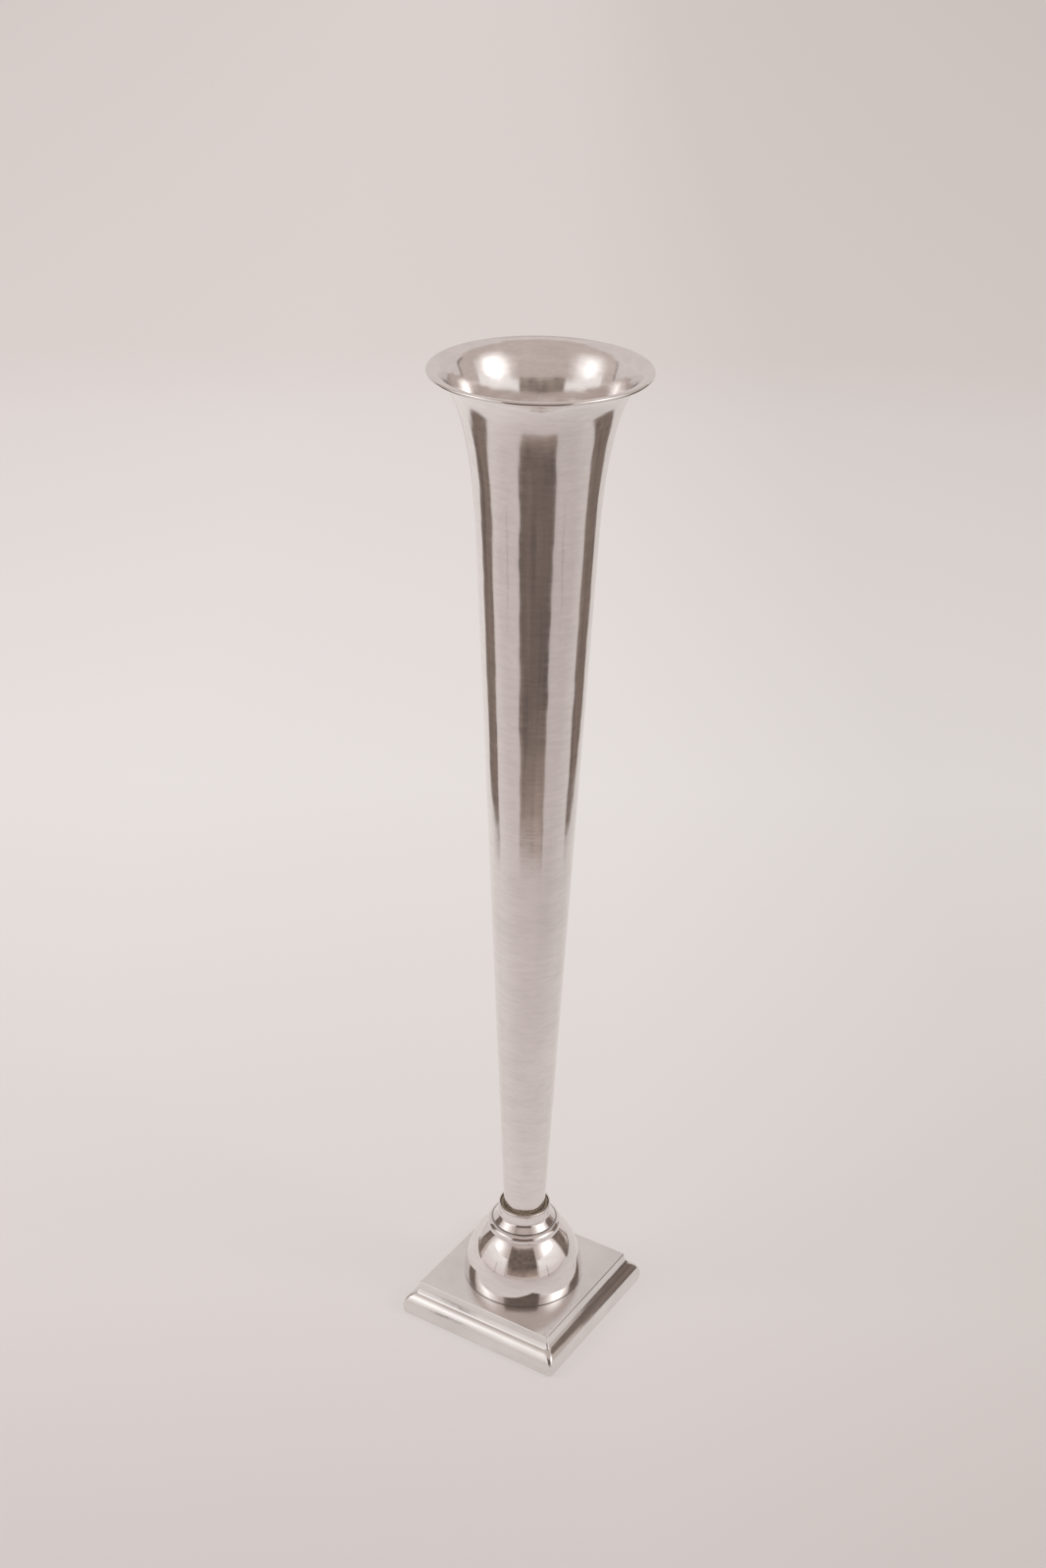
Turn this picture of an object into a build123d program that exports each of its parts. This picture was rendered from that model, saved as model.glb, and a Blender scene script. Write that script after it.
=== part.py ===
from build123d import *

import os
from math import asin, atan2, cos, radians, sin, sqrt, tan

# Trumpet vase of polished aluminium: a tall flared vessel that screws on to a turned and cast foot.
# The foot is a stack on one threaded rod: square moulded plinth, bell-shaped dome and cup-shaped
# collar, drawn together between a nut under the plinth and a thin nut in the collar's cup. The rod's
# end stands up out of the cup, and the plug in the vessel's stem screws down on it until the stem
# sits on a fibre ring. Millimetres, +Z up along the rod, origin amid the pads on the standing plane.

os.makedirs("parts", exist_ok=True)

# Whole vase
vase_height = 700.0
cut_overrun = 2.0
quarter_turn = 90

# Vessel: a slender cone that opens into a flat-lipped bell
stem_radius = 14.65
cone_top_radius = 37.9
cone_top_height = 600.0
rim_radius = 67.5
rim_bead_radius = 1.5
rim_rise_angle = 6.0
vessel_wall = 2.2
bell_fullness_share = 0.55
lip_fullness_share = 0.55

# Plinth: square casting with a half-round below, a narrow ledge and a hollowed slab side above
plinth_side = 127.2
plinth_height = 25.0
torus_height = 16.4
torus_belly_height = 5.4
torus_foot_tuck = 0.7
torus_shoulder = 6.6
ledge_width = 0.4
ledge_rise = 0.4
slab_hollow_depth = 0.5
slab_top_side = 108.2
slab_arris_radius = 0.9
plinth_rim_width = 12.0
plinth_plate = 6.0
pocket_corner_radius = 7.0
pocket_rib_thickness = 5.0
pocket_rib_depth = 13.0
boss_radius = 14.0
boss_drop = 3.2

# Dome: half an egg, hollow underneath
dome_radius = 42.8
dome_egg_height = 52.0
dome_seat_radius = 25.4
dome_foot_wall = 8.8
dome_crown = 6.0

# Collar: turned cup with two beads, a drawn-in neck and a thin lip
collar_height = 19.4
lower_bead_height = 5.4
lower_bead_bulge = 0.9
upper_bead_radius = 22.0
upper_bead_height = 5.4
upper_bead_bulge = 0.9
neck_root_radius = 20.4
neck_radius = 17.9
neck_height = 6.4
lip_radius = 18.4
lip_wall = 1.1
cup_floor = 8.0

# Threaded rod and what it clamps
rod_radius = 5.0
rod_hole_clearance = 0.3
thread_clearance = 0.06
rod_end_chamfer = 1.0
nut_across_flats = 16.0
nut_thickness = 8.0
thin_nut_thickness = 5.0
nut_chamfer_angle = 30.0
washer_radius = 10.0
washer_thickness = 2.0
lock_washer_radius = 8.8
lock_washer_thickness = 2.2
lock_washer_split = 1.6
rod_tail = 1.6

# Stem plug and seat ring
thread_engagement = 16.0
plug_tip_room = 2.0
plug_floor = 4.0
plug_nut_room = 2.0
plug_fit_clearance = 0.04
seat_thickness = 2.5
seat_outer_clearance = 0.3
seat_stem_clearance = 0.2
seat_hole_clearance = 0.6
seat_drop = 0.8

# Felt pads under the plinth's corners
pad_radius = 5.0
pad_thickness = 1.2

# Levels that the stacked pieces share
plinth_underside = pad_thickness
plinth_top = plinth_underside + plinth_height
pocket_ceiling = plinth_top - plinth_plate
boss_face = pocket_ceiling - boss_drop
dome_seat = plinth_top + dome_egg_height * sqrt(1 - (dome_seat_radius / dome_radius) ** 2)
cup_seat = dome_seat + cup_floor
lip_level = dome_seat + collar_height
stem_foot = cup_seat + seat_thickness
thin_nut_seat = cup_seat + washer_thickness
thin_nut_top = thin_nut_seat + thin_nut_thickness
plug_underside = thin_nut_top + plug_nut_room
rod_top = plug_underside + thread_engagement
plug_top = rod_top + plug_tip_room + plug_floor
lower_washer_face = boss_face - washer_thickness
lock_washer_face = lower_washer_face - lock_washer_thickness
nut_face = lock_washer_face - nut_thickness
rod_bottom = nut_face - rod_tail

# Radii that mating pieces share
rod_hole_radius = rod_radius + rod_hole_clearance
thread_hole_radius = rod_radius + thread_clearance
cup_radius = lip_radius - lip_wall

# The cone's slope, and the vessel's outer radius at a height on it
cone_slope = (cone_top_radius - stem_radius) / (cone_top_height - lip_level)
cone_angle = atan2(cone_top_radius - stem_radius, cone_top_height - lip_level)
wall_across = vessel_wall / cos(cone_angle)


def cone_radius(height):
    """Outer radius of the vessel's straight cone at a height."""
    return stem_radius + cone_slope * (height - lip_level)


def turned(*edges):
    """Solid turned about the vase's axis from a closed outline drawn as radius and height."""
    return revolve(Plane.XZ * make_face(edges), Axis.Z)


def ring(inner, outer, low, high):
    """Plain turned ring."""
    return turned(Polyline((inner, low), (outer, low), (outer, high), (inner, high), close=True))


def hex_nut(low, thickness):
    """Hexagon nut with both ends chamfered by a cone and a plain hole for the rod's thread."""
    circle = nut_across_flats / sqrt(3)
    flat = nut_across_flats / 2
    bevel = (circle - flat) * tan(radians(nut_chamfer_angle))
    high = low + thickness
    prism = extrude(Plane.XY.offset(low) * RegularPolygon(circle, 6), amount=thickness)
    trim = turned(Polyline(
        (thread_hole_radius, low), (flat, low), (circle, low + bevel),
        (circle, high - bevel), (flat, high), (thread_hole_radius, high), close=True))
    return prism & trim


def trumpet():
    """Cone and bell as one wall of even thickness, ended by a round bead at the rim."""
    lean = Vector(sin(cone_angle), cos(cone_angle))
    inward = Vector(-cos(cone_angle), sin(cone_angle)) * vessel_wall
    rise = radians(rim_rise_angle)
    outward = Vector(cos(rise), sin(rise))
    upward = Vector(-sin(rise), cos(rise)) * vessel_wall
    neck = sqrt(rim_bead_radius ** 2 - (vessel_wall / 2) ** 2)
    bead = Vector(rim_radius - rim_bead_radius, vase_height - rim_bead_radius)
    start = Vector(cone_top_radius, cone_top_height)
    end = bead - outward * neck - upward / 2
    rising = lean * (bell_fullness_share * (end.Y - start.Y))
    spreading = outward * (lip_fullness_share * (end.X - start.X))
    foot = Vector(cone_radius(stem_foot), stem_foot)
    inner_foot = Vector(cone_radius(stem_foot) - wall_across, stem_foot)
    return turned(
        Line(inner_foot, foot),
        Line(foot, start),
        Bezier(start, start + rising, end - spreading, end),
        ThreePointArc(end, bead + outward * rim_bead_radius, end + upward),
        Bezier(end + upward, end + upward - spreading, start + inward + rising, start + inward),
        Line(start + inward, inner_foot))


def stem_plug():
    """Tapered plug that closes the stem, tapped from below for the rod."""
    low = cone_radius(plug_underside) - wall_across - plug_fit_clearance
    high = cone_radius(plug_top) - wall_across - plug_fit_clearance
    blind = plug_top - plug_floor
    return turned(Polyline(
        (thread_hole_radius, plug_underside), (low, plug_underside), (high, plug_top),
        (0, plug_top), (0, blind), (thread_hole_radius, blind), close=True))


def seat_washer():
    """Fibre ring of L section: the stem's foot stands on its flange, and its wall fills the cup."""
    top = lip_level - seat_drop
    outer = cup_radius - seat_outer_clearance
    inner = washer_radius + seat_hole_clearance
    bore = cone_radius(top) + seat_stem_clearance
    return turned(Polyline(
        (inner, cup_seat), (outer, cup_seat), (outer, top), (bore, top),
        (bore, stem_foot), (inner, stem_foot), close=True))


def collar():
    """Turned cup: two half-round beads, a hollowed neck and a thin rounded lip."""
    lower_top = dome_seat + lower_bead_height
    upper_top = lower_top + upper_bead_height
    neck_level = upper_top + neck_height
    lip_middle = (lip_radius + cup_radius) / 2
    lip_base = lip_level - lip_wall / 2
    neck_hollow = (neck_root_radius - neck_radius) / 4
    return turned(
        Polyline(
            (cup_radius, lip_base), (cup_radius, cup_seat), (rod_hole_radius, cup_seat),
            (rod_hole_radius, dome_seat), (dome_seat_radius, dome_seat)),
        ThreePointArc(
            (dome_seat_radius, dome_seat),
            (dome_seat_radius + lower_bead_bulge, dome_seat + lower_bead_height / 2),
            (dome_seat_radius, lower_top)),
        Line((dome_seat_radius, lower_top), (upper_bead_radius, lower_top)),
        ThreePointArc(
            (upper_bead_radius, lower_top),
            (upper_bead_radius + upper_bead_bulge, lower_top + upper_bead_height / 2),
            (upper_bead_radius, upper_top)),
        Line((upper_bead_radius, upper_top), (neck_root_radius, upper_top)),
        ThreePointArc(
            (neck_root_radius, upper_top),
            ((neck_root_radius + neck_radius) / 2 - neck_hollow, upper_top + neck_height / 2),
            (neck_radius, neck_level)),
        Line((neck_radius, neck_level), (lip_radius, lip_base)),
        ThreePointArc((lip_radius, lip_base), (lip_middle, lip_level), (cup_radius, lip_base)))


def egg_curve(radius, height, level):
    """Side of an upright half-egg from its foot up to a level, as one curve and its top radius."""
    angle = asin((level - plinth_top) / height)
    reach_share = 4 / 3 * tan(angle / 4)
    foot = Vector(radius, plinth_top)
    top = Vector(radius * cos(angle), level)
    leave = Vector(0, height) * reach_share
    arrive = Vector(-radius * sin(angle), height * cos(angle)) * reach_share
    return Bezier(foot, foot + leave, top - arrive, top), top.X


def dome():
    """Half-egg shell, flat where the collar stands, with a broad foot ring and a closed crown."""
    inner_radius = dome_radius - dome_foot_wall
    ceiling = dome_seat - dome_crown
    outside, outside_top_radius = egg_curve(dome_radius, dome_egg_height, dome_seat)
    inside, ceiling_radius = egg_curve(inner_radius, dome_egg_height - dome_crown, ceiling)
    return turned(
        Line((inner_radius, plinth_top), (dome_radius, plinth_top)),
        outside,
        Polyline(
            (outside_top_radius, dome_seat), (rod_hole_radius, dome_seat),
            (rod_hole_radius, ceiling), (ceiling_radius, ceiling)),
        inside)


def plinth():
    """One moulding carried round a square with mitred corners, ribbed and bossed underneath."""
    half = plinth_side / 2
    slab_half = slab_top_side / 2
    belly = plinth_underside + torus_belly_height
    shoulder = plinth_underside + torus_height
    ledge_outer = half - torus_shoulder
    ledge_inner = ledge_outer - ledge_width
    slab_root = shoulder + ledge_rise
    slab_edge = plinth_top - slab_arris_radius
    middle = Vector((ledge_inner + slab_half) / 2 - slab_hollow_depth, (slab_root + slab_edge) / 2)
    arris = slab_arris_radius * sqrt(2) / 2
    arris_inner = slab_half - slab_arris_radius
    right = make_face((
        Line((0, plinth_underside), (half - torus_foot_tuck, plinth_underside)),
        EllipticalCenterArc(
            (half - torus_foot_tuck, belly), torus_foot_tuck, torus_belly_height, -quarter_turn),
        EllipticalCenterArc((ledge_outer, belly), torus_shoulder, shoulder - belly),
        Line((ledge_outer, shoulder), (ledge_inner, slab_root)),
        ThreePointArc((ledge_inner, slab_root), middle, (slab_half, slab_edge)),
        ThreePointArc(
            (slab_half, slab_edge), (arris_inner + arris, slab_edge + arris), (arris_inner, plinth_top)),
        Line((arris_inner, plinth_top), (0, plinth_top)),
        Line((0, plinth_top), (0, plinth_underside))))
    outline = right + mirror(right, about=Plane.YZ)
    moulding = extrude(Plane.XZ * outline, amount=plinth_side, both=True)
    block = moulding & (Rot(0, 0, quarter_turn) * moulding)
    pocket_side = plinth_side - 2 * torus_foot_tuck - 2 * plinth_rim_width
    pocket_depth = pocket_ceiling - plinth_underside + cut_overrun
    mouth = Plane.XY.offset(plinth_underside - cut_overrun)
    pocket = extrude(
        mouth * RectangleRounded(pocket_side, pocket_side, pocket_corner_radius), amount=pocket_depth)
    rib_level = Plane.XY.offset(pocket_ceiling - pocket_rib_depth)
    for angle in (0, quarter_turn):
        rib = rib_level * Rot(0, 0, angle) * Rectangle(plinth_side, pocket_rib_thickness)
        pocket -= extrude(rib, amount=pocket_rib_depth + cut_overrun)
    pocket -= ring(0, boss_radius, boss_face, plinth_top)
    pocket += ring(0, boss_radius, plinth_underside - cut_overrun, boss_face)
    hole = ring(0, rod_hole_radius, plinth_underside - cut_overrun, plinth_top + cut_overrun)
    return block - pocket - hole


def tie_rod():
    """Plain shank of the threaded rod, chamfered at both ends."""
    tip = rod_radius - rod_end_chamfer
    return turned(Polyline(
        (0, rod_bottom), (tip, rod_bottom), (rod_radius, rod_bottom + rod_end_chamfer),
        (rod_radius, rod_top - rod_end_chamfer), (tip, rod_top), (0, rod_top), close=True))


def lock_washer():
    """Split spring washer, clamped flat."""
    body = ring(rod_hole_radius, lock_washer_radius, lock_washer_face, lower_washer_face)
    split = Plane.XY.offset(lock_washer_face - cut_overrun) * Pos(lock_washer_radius, 0) * Rectangle(
        2 * lock_washer_radius, lock_washer_split)
    return body - extrude(split, amount=lock_washer_thickness + 2 * cut_overrun)


def felt_pad(side_x, side_y):
    """Stick-on felt disc in the middle of the plinth's rim at one corner."""
    reach = plinth_side / 2 - torus_foot_tuck - plinth_rim_width / 2
    return Pos(side_x * reach, side_y * reach, 0) * ring(0, pad_radius, 0, pad_thickness)


pieces = {
    "trumpet": trumpet(),
    "stem_plug": stem_plug(),
    "seat_washer": seat_washer(),
    "collar": collar(),
    "dome": dome(),
    "plinth": plinth(),
    "tie_rod": tie_rod(),
    "cup_washer": ring(rod_hole_radius, washer_radius, cup_seat, thin_nut_seat),
    "cup_nut": hex_nut(thin_nut_seat, thin_nut_thickness),
    "base_washer": ring(rod_hole_radius, washer_radius, lower_washer_face, boss_face),
    "lock_washer": lock_washer(),
    "base_nut": hex_nut(nut_face, nut_thickness),
}
corners = ((1, 1), (-1, 1), (-1, -1), (1, -1))
for number, corner in enumerate(corners, start=1):
    pieces[f"felt_pad_{number}"] = felt_pad(*corner)

for name, shape in pieces.items():
    export_step(shape, f"parts/{name}.step")
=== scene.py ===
import math

import bmesh
import bpy
import numpy as np
from mathutils import Matrix, Vector


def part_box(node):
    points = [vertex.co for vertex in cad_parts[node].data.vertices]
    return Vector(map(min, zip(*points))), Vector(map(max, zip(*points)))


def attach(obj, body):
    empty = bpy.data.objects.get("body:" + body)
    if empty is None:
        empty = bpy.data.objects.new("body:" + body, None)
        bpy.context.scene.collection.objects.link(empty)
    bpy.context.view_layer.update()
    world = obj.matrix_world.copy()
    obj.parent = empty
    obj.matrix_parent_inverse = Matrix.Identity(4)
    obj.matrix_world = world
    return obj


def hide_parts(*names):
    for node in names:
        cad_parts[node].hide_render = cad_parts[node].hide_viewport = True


# The vase as it was built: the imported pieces, in metres, +Z up the axis, plinth square to X and Y.
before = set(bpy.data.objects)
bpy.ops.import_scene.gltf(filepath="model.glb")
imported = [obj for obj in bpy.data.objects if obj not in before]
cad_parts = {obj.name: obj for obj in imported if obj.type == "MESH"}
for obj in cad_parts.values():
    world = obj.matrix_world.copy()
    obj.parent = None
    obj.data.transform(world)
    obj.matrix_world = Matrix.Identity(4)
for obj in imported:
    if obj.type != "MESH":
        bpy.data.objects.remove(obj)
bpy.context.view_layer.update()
mm = 0.001

# Plinth: a square aluminium casting, hollow and ribbed underneath. Its top is linished to a satin, the
# half-round and the hollowed slab side are buffed bright, and the mitred corners are rubbed soft.
plinth_half = 63.6 * mm
plinth_foot = 1.2 * mm
plinth_top = 26.2 * mm
torus_top = 17.6 * mm
torus_belly = 6.6 * mm
torus_tuck = 0.7 * mm
torus_shoulder = 6.6 * mm
torus_stop = math.radians(60)
torus_corner = 2.8 * mm
ledge_inner = 56.6 * mm
slab_root = 18.0 * mm
slab_half = 54.1 * mm
slab_arris = 0.9 * mm
slab_hollow = 0.5 * mm
slab_corner = 1.2 * mm
rod_hole = 5.3 * mm
pocket_half = 50.9 * mm
pocket_corner = 7 * mm
pocket_ceiling = 20.2 * mm
boss_radius = 14 * mm
boss_face = 17.0 * mm
rib_half_thickness = 2.5 * mm
rib_low = 7.2 * mm
rib_sink = 0.8 * mm
rib_rounding = 0.8 * mm
corner_steps = 10
side_shares = np.array([-0.97, -0.5, 0.0, 0.5, 0.97])
weld_distance = 1e-6
satin_colour = (0.88, 0.86, 0.85)
satin_dark_share = 0.9
satin_cloud_scale = (30, 30, 60)
satin_line_scale = (22, 900, 900)
satin_wave_scale = (60, 60, 60)
satin_line_depth = 0.03 * mm
satin_wave_depth = 0.3 * mm
moulding_roughness = 0.09
top_roughness = 0.15
blotch_roughness = (-0.03, 0.05)
near_level = (0.94, 0.995)


def line(start, end, count):
    """Points on the straight run from start up to, but not including, end."""
    share = np.linspace(0, 1, count, endpoint=False)[:, None]
    return np.asarray(start) * (1 - share) + np.asarray(end) * share


def bezier(start, leave, arrive, end, count):
    """Points on the cubic curve of four control points, without its last one."""
    t = np.linspace(0, 1, count, endpoint=False)[:, None]
    corners = [np.asarray(p) for p in (start, leave, arrive, end)]
    weights = [(1 - t) ** 3, 3 * t * (1 - t) ** 2, 3 * t ** 2 * (1 - t), t ** 3]
    return sum(w * p for w, p in zip(weights, corners))


def quarter_ellipse(centre, across, rise, first, last, count):
    """Points on an ellipse: x = across cos t and z = rise sin t about its centre."""
    t = np.linspace(first, last, count, endpoint=False)
    return np.stack([centre[0] + across * np.cos(t), centre[1] + rise * np.sin(t)], axis=1)


def arc(centre, radius, first, last, count):
    """Points on a circle from the first angle up to, but not including, the last."""
    return quarter_ellipse(centre, radius, radius, first, last, count)


def soften(points, radius, count=6):
    """Closed outline whose corners are rounded: each corner is a curve between two near points."""
    corner = np.asarray(points, dtype=float)
    before = np.roll(corner, 1, axis=0) - corner
    after = np.roll(corner, -1, axis=0) - corner
    reach = np.minimum(np.linalg.norm(before, axis=1), np.linalg.norm(after, axis=1)) / 2
    reach = np.minimum(np.broadcast_to(radius, reach.shape), reach)[:, None]
    start = corner + before / np.linalg.norm(before, axis=1)[:, None] * reach
    end = corner + after / np.linalg.norm(after, axis=1)[:, None] * reach
    t = np.linspace(0, 1, count)[None, :, None]
    curve = start[:, None] * (1 - t) ** 2 + 2 * corner[:, None] * t * (1 - t) + end[:, None] * t ** 2
    return curve.reshape(-1, 2)


def skin(points, closed_rows=True):
    """Mesh of a grid of points: rows join to the next row, columns close on themselves."""
    rows, columns = points.shape[:2]
    index = np.arange(rows * columns).reshape(rows, columns)
    below = np.roll(index, -1, axis=0) if closed_rows else index[1:]
    here = index if closed_rows else index[:-1]
    quads = np.stack([here, np.roll(here, -1, axis=1), np.roll(below, -1, axis=1), below], axis=-1)
    return points.reshape(-1, 3), quads.reshape(-1, 4)


def add_piece(name, *skins):
    """One smooth object from one or more grids, at the origin, with its place in its mesh."""
    points = np.concatenate([part[0] for part in skins])
    starts = np.cumsum([0] + [len(part[0]) for part in skins[:-1]])
    quads = np.concatenate([part[1] + start for part, start in zip(skins, starts)])
    mesh = bpy.data.meshes.new(name)
    mesh.from_pydata(points.tolist(), [], quads.tolist())
    mesh.polygons.foreach_set("use_smooth", np.ones(len(quads), dtype=bool))
    mesh.update()
    piece = bpy.data.objects.new(name, mesh)
    bpy.context.scene.collection.objects.link(piece)
    return piece


def weld(piece):
    """Merges doubled points, drops edges without faces, and turns every face outward."""
    shape = bmesh.new()
    shape.from_mesh(piece.data)
    bmesh.ops.remove_doubles(shape, verts=shape.verts, dist=weld_distance)
    loose = [edge for edge in shape.edges if not edge.link_faces]
    bmesh.ops.delete(shape, geom=loose, context="EDGES")
    bmesh.ops.recalc_face_normals(shape, faces=shape.faces)
    shape.to_mesh(piece.data)
    shape.free()


def carry_round_square(half, corner, height):
    """Grid of a profile carried round a square whose corners are arcs: each point of the profile has
    its half side, its corner radius and its height."""
    angle = np.linspace(0, np.pi / 2, corner_steps)
    inner = (half - corner)[:, None]
    radius = corner[:, None]
    side = inner * side_shares
    face = np.repeat(half[:, None], side.shape[1], axis=1)
    right = np.concatenate([face, inner + radius * np.cos(angle)], axis=1)
    ahead = np.concatenate([side, inner + radius * np.sin(angle)], axis=1)
    x = np.concatenate([right, -ahead, -right, ahead], axis=1)
    y = np.concatenate([ahead, right, -ahead, -right], axis=1)
    z = np.repeat(height[:, None], x.shape[1], axis=1)
    return skin(np.stack([x, y, z], axis=-1))


def plinth_profile():
    """Half sides, corner radii and heights from the foot up the moulding, over the top, down the rod
    hole, and back under the plate and down the pocket's wall."""
    ledge_outer = plinth_half - torus_shoulder
    across = torus_shoulder / (1 - math.cos(torus_stop))
    rise = (torus_top - torus_belly) / math.sin(torus_stop)
    slab_edge = plinth_top - slab_arris
    slab_foot = (ledge_inner, slab_root)
    slab_head = (slab_half, slab_edge)
    hollow = ((ledge_inner + slab_half) / 2 - 2 * slab_hollow, (slab_root + slab_edge) / 2)
    moulding = np.concatenate([
        quarter_ellipse((plinth_half - torus_tuck, torus_belly), torus_tuck, torus_belly - plinth_foot,
                        -np.pi / 2, 0, 10),
        quarter_ellipse((plinth_half - across, torus_belly), across, rise, 0, torus_stop, 30),
        line((ledge_outer, torus_top), slab_foot, 6),
        bezier(slab_foot, hollow, hollow, slab_head, 16),
        arc((slab_half - slab_arris, slab_edge), slab_arris, 0, np.pi / 2, 8)])
    top = line((slab_half - slab_arris, plinth_top), (rod_hole, plinth_top), 24)
    hole = line((rod_hole, plinth_top), (rod_hole, boss_face), 6)
    boss = line((rod_hole, boss_face), (boss_radius, boss_face), 4)
    boss_side = line((boss_radius, boss_face), (boss_radius, pocket_ceiling), 4)
    ceiling = line((boss_radius, pocket_ceiling), (pocket_half, pocket_ceiling), 12)
    wall = line((pocket_half, pocket_ceiling), (pocket_half, plinth_foot), 6)
    underside = line((pocket_half, plinth_foot), moulding[0], 5)
    stretches = [moulding, top, hole, boss, boss_side, ceiling, wall, underside]
    half, height = np.concatenate(stretches).T
    number = np.arange(len(half))
    inside = number >= len(moulding) + len(top)
    on_top = (number >= len(moulding)) & ~inside
    softened = np.minimum(half, np.where(height < slab_root, torus_corner, slab_corner))
    round_share = np.clip((pocket_half - half) / (pocket_half - boss_radius), 0, 1)
    pocket_corners = np.minimum(half, pocket_corner + (half - pocket_corner) * round_share)
    corner = np.where(inside & (height > plinth_foot), pocket_corners, softened)
    top_round = np.clip((boss_radius * 2 - half) / (boss_radius * 2 - rod_hole), 0, 1)
    top_corner = np.minimum(half, slab_corner + (half - slab_corner) * top_round)
    return half, np.where(on_top, top_corner, corner), height


def rib(turn):
    """Straight web from the boss to the pocket's wall: a rectangle carried along X and turned."""
    start = boss_radius - rib_sink
    end = pocket_half + rib_sink
    top = pocket_ceiling + rib_sink
    outline = soften(
        [(-rib_half_thickness, rib_low), (rib_half_thickness, rib_low), (rib_half_thickness, top),
         (-rib_half_thickness, top)], rib_rounding)
    middle = outline.mean(axis=0)
    along, share = np.array([(start, 0), (start, 1), (end, 1), (end, 0)]).T[:, :, None]
    across = middle[0] + (outline[:, 0] - middle[0]) * share
    height = middle[1] + (outline[:, 1] - middle[1]) * share
    x = along * math.cos(turn) - across * math.sin(turn)
    y = along * math.sin(turn) + across * math.cos(turn)
    return skin(np.stack([x, y, height], axis=-1), closed_rows=False)


def new_material(name):
    """Empty node material with its shader and the object's own coordinates."""
    material = bpy.data.materials.new(name)
    material.use_nodes = True
    nodes = material.node_tree.nodes
    shader = nodes["Principled BSDF"]
    place = nodes.new("ShaderNodeTexCoord").outputs["Object"]
    return material, nodes, material.node_tree.links, shader, place


def reckon(nodes, links, operation, *values):
    """Sum on values, each of which is a socket or a plain number."""
    node = nodes.new("ShaderNodeMath")
    node.operation = operation
    for socket, value in zip(node.inputs, values):
        if isinstance(value, (int, float)):
            socket.default_value = value
        else:
            links.new(value, socket)
    return node.outputs["Value"]


def split(nodes, links, vector):
    """The three parts of a vector."""
    parts = nodes.new("ShaderNodeSeparateXYZ")
    links.new(vector, parts.inputs["Vector"])
    return parts.outputs


def stretched_noise(nodes, links, place, scale, detail=4.0, roughness=0.6):
    """Noise on coordinates that are scaled by a different amount along each axis."""
    mapping = nodes.new("ShaderNodeMapping")
    mapping.inputs["Scale"].default_value = scale
    links.new(place, mapping.inputs["Vector"])
    noise = nodes.new("ShaderNodeTexNoise")
    noise.inputs["Scale"].default_value = 1
    noise.inputs["Detail"].default_value = detail
    noise.inputs["Roughness"].default_value = roughness
    links.new(mapping.outputs["Vector"], noise.inputs["Vector"])
    return noise.outputs["Fac"]


def spread(nodes, links, value, low, high, start=0.3, stop=0.7):
    """Value carried from start..stop to low..high."""
    remap = nodes.new("ShaderNodeMapRange")
    remap.inputs["From Min"].default_value = start
    remap.inputs["From Max"].default_value = stop
    remap.inputs["To Min"].default_value = low
    remap.inputs["To Max"].default_value = high
    links.new(value, remap.inputs["Value"])
    return remap.outputs["Result"]


def raise_surface(nodes, links, height, strength, distance, under=None):
    """Bump node over the normal of the one under it."""
    bump = nodes.new("ShaderNodeBump")
    bump.inputs["Strength"].default_value = strength
    bump.inputs["Distance"].default_value = distance
    links.new(height, bump.inputs["Height"])
    if under:
        links.new(under, bump.inputs["Normal"])
    return bump.outputs["Normal"]


def tone_ramp(nodes, links, value, tones):
    """Colour ramp with a list of places and tones."""
    ramp = nodes.new("ShaderNodeValToRGB")
    stops = ramp.color_ramp.elements
    for place, _ in tones[1:-1]:
        stops.new(place)
    for stop, (place, tone) in zip(stops, tones):
        stop.position = place
        stop.color = (*tone, 1)
    links.new(value, ramp.inputs["Fac"])
    return ramp.outputs["Color"]


def tint(nodes, links, value, dark, light):
    """Colour between a dark and a light one, over the middle part of a noise."""
    return tone_ramp(nodes, links, value, [(0.35, dark), (0.65, light)])


def dimmed(colour, share):
    """Colour at a share of its brightness."""
    return tuple(part * share for part in colour)


def satin_casting():
    """Linished aluminium: satin on level faces, brighter on the mouldings, with straight fine lines."""
    material, nodes, links, shader, place = new_material("satin_casting")
    shader.inputs["Metallic"].default_value = 1
    cloud = stretched_noise(nodes, links, place, satin_cloud_scale, detail=6)
    brushed = stretched_noise(nodes, links, place, satin_line_scale, detail=3, roughness=0.7)
    dark = dimmed(satin_colour, satin_dark_share)
    links.new(tint(nodes, links, cloud, dark, satin_colour), shader.inputs["Base Color"])
    upward = split(nodes, links, nodes.new("ShaderNodeNewGeometry").outputs["Normal"])["Z"]
    level = spread(nodes, links, upward, moulding_roughness, top_roughness, *near_level)
    blotch = spread(nodes, links, cloud, *blotch_roughness)
    links.new(reckon(nodes, links, "ADD", level, blotch), shader.inputs["Roughness"])
    wave = stretched_noise(nodes, links, place, satin_wave_scale, detail=1)
    slow = raise_surface(nodes, links, wave, 0.3, satin_wave_depth)
    links.new(raise_surface(nodes, links, brushed, 0.15, satin_line_depth, slow), shader.inputs["Normal"])
    return material


plinth = add_piece("moulded_plinth", carry_round_square(*plinth_profile()),
                   *[rib(turn) for turn in np.arange(4) * np.pi / 2])
weld(plinth)
plinth.data.materials.append(satin_casting())
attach(plinth, "base")
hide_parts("plinth")

# Pads: four discs of dark pressed wool felt, punched from sheet and stuck under the plinth's corners,
# so that the vase stands on them and doesn't scratch a table.
pad_radius = 5 * mm
pad_rounding = 0.4 * mm
pad_steps = 48
felt_dark = (0.02, 0.02, 0.02)
felt_light = (0.07, 0.068, 0.066)
felt_hair_scale = (1500, 1500, 1500)
felt_hair_depth = 0.3 * mm


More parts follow.
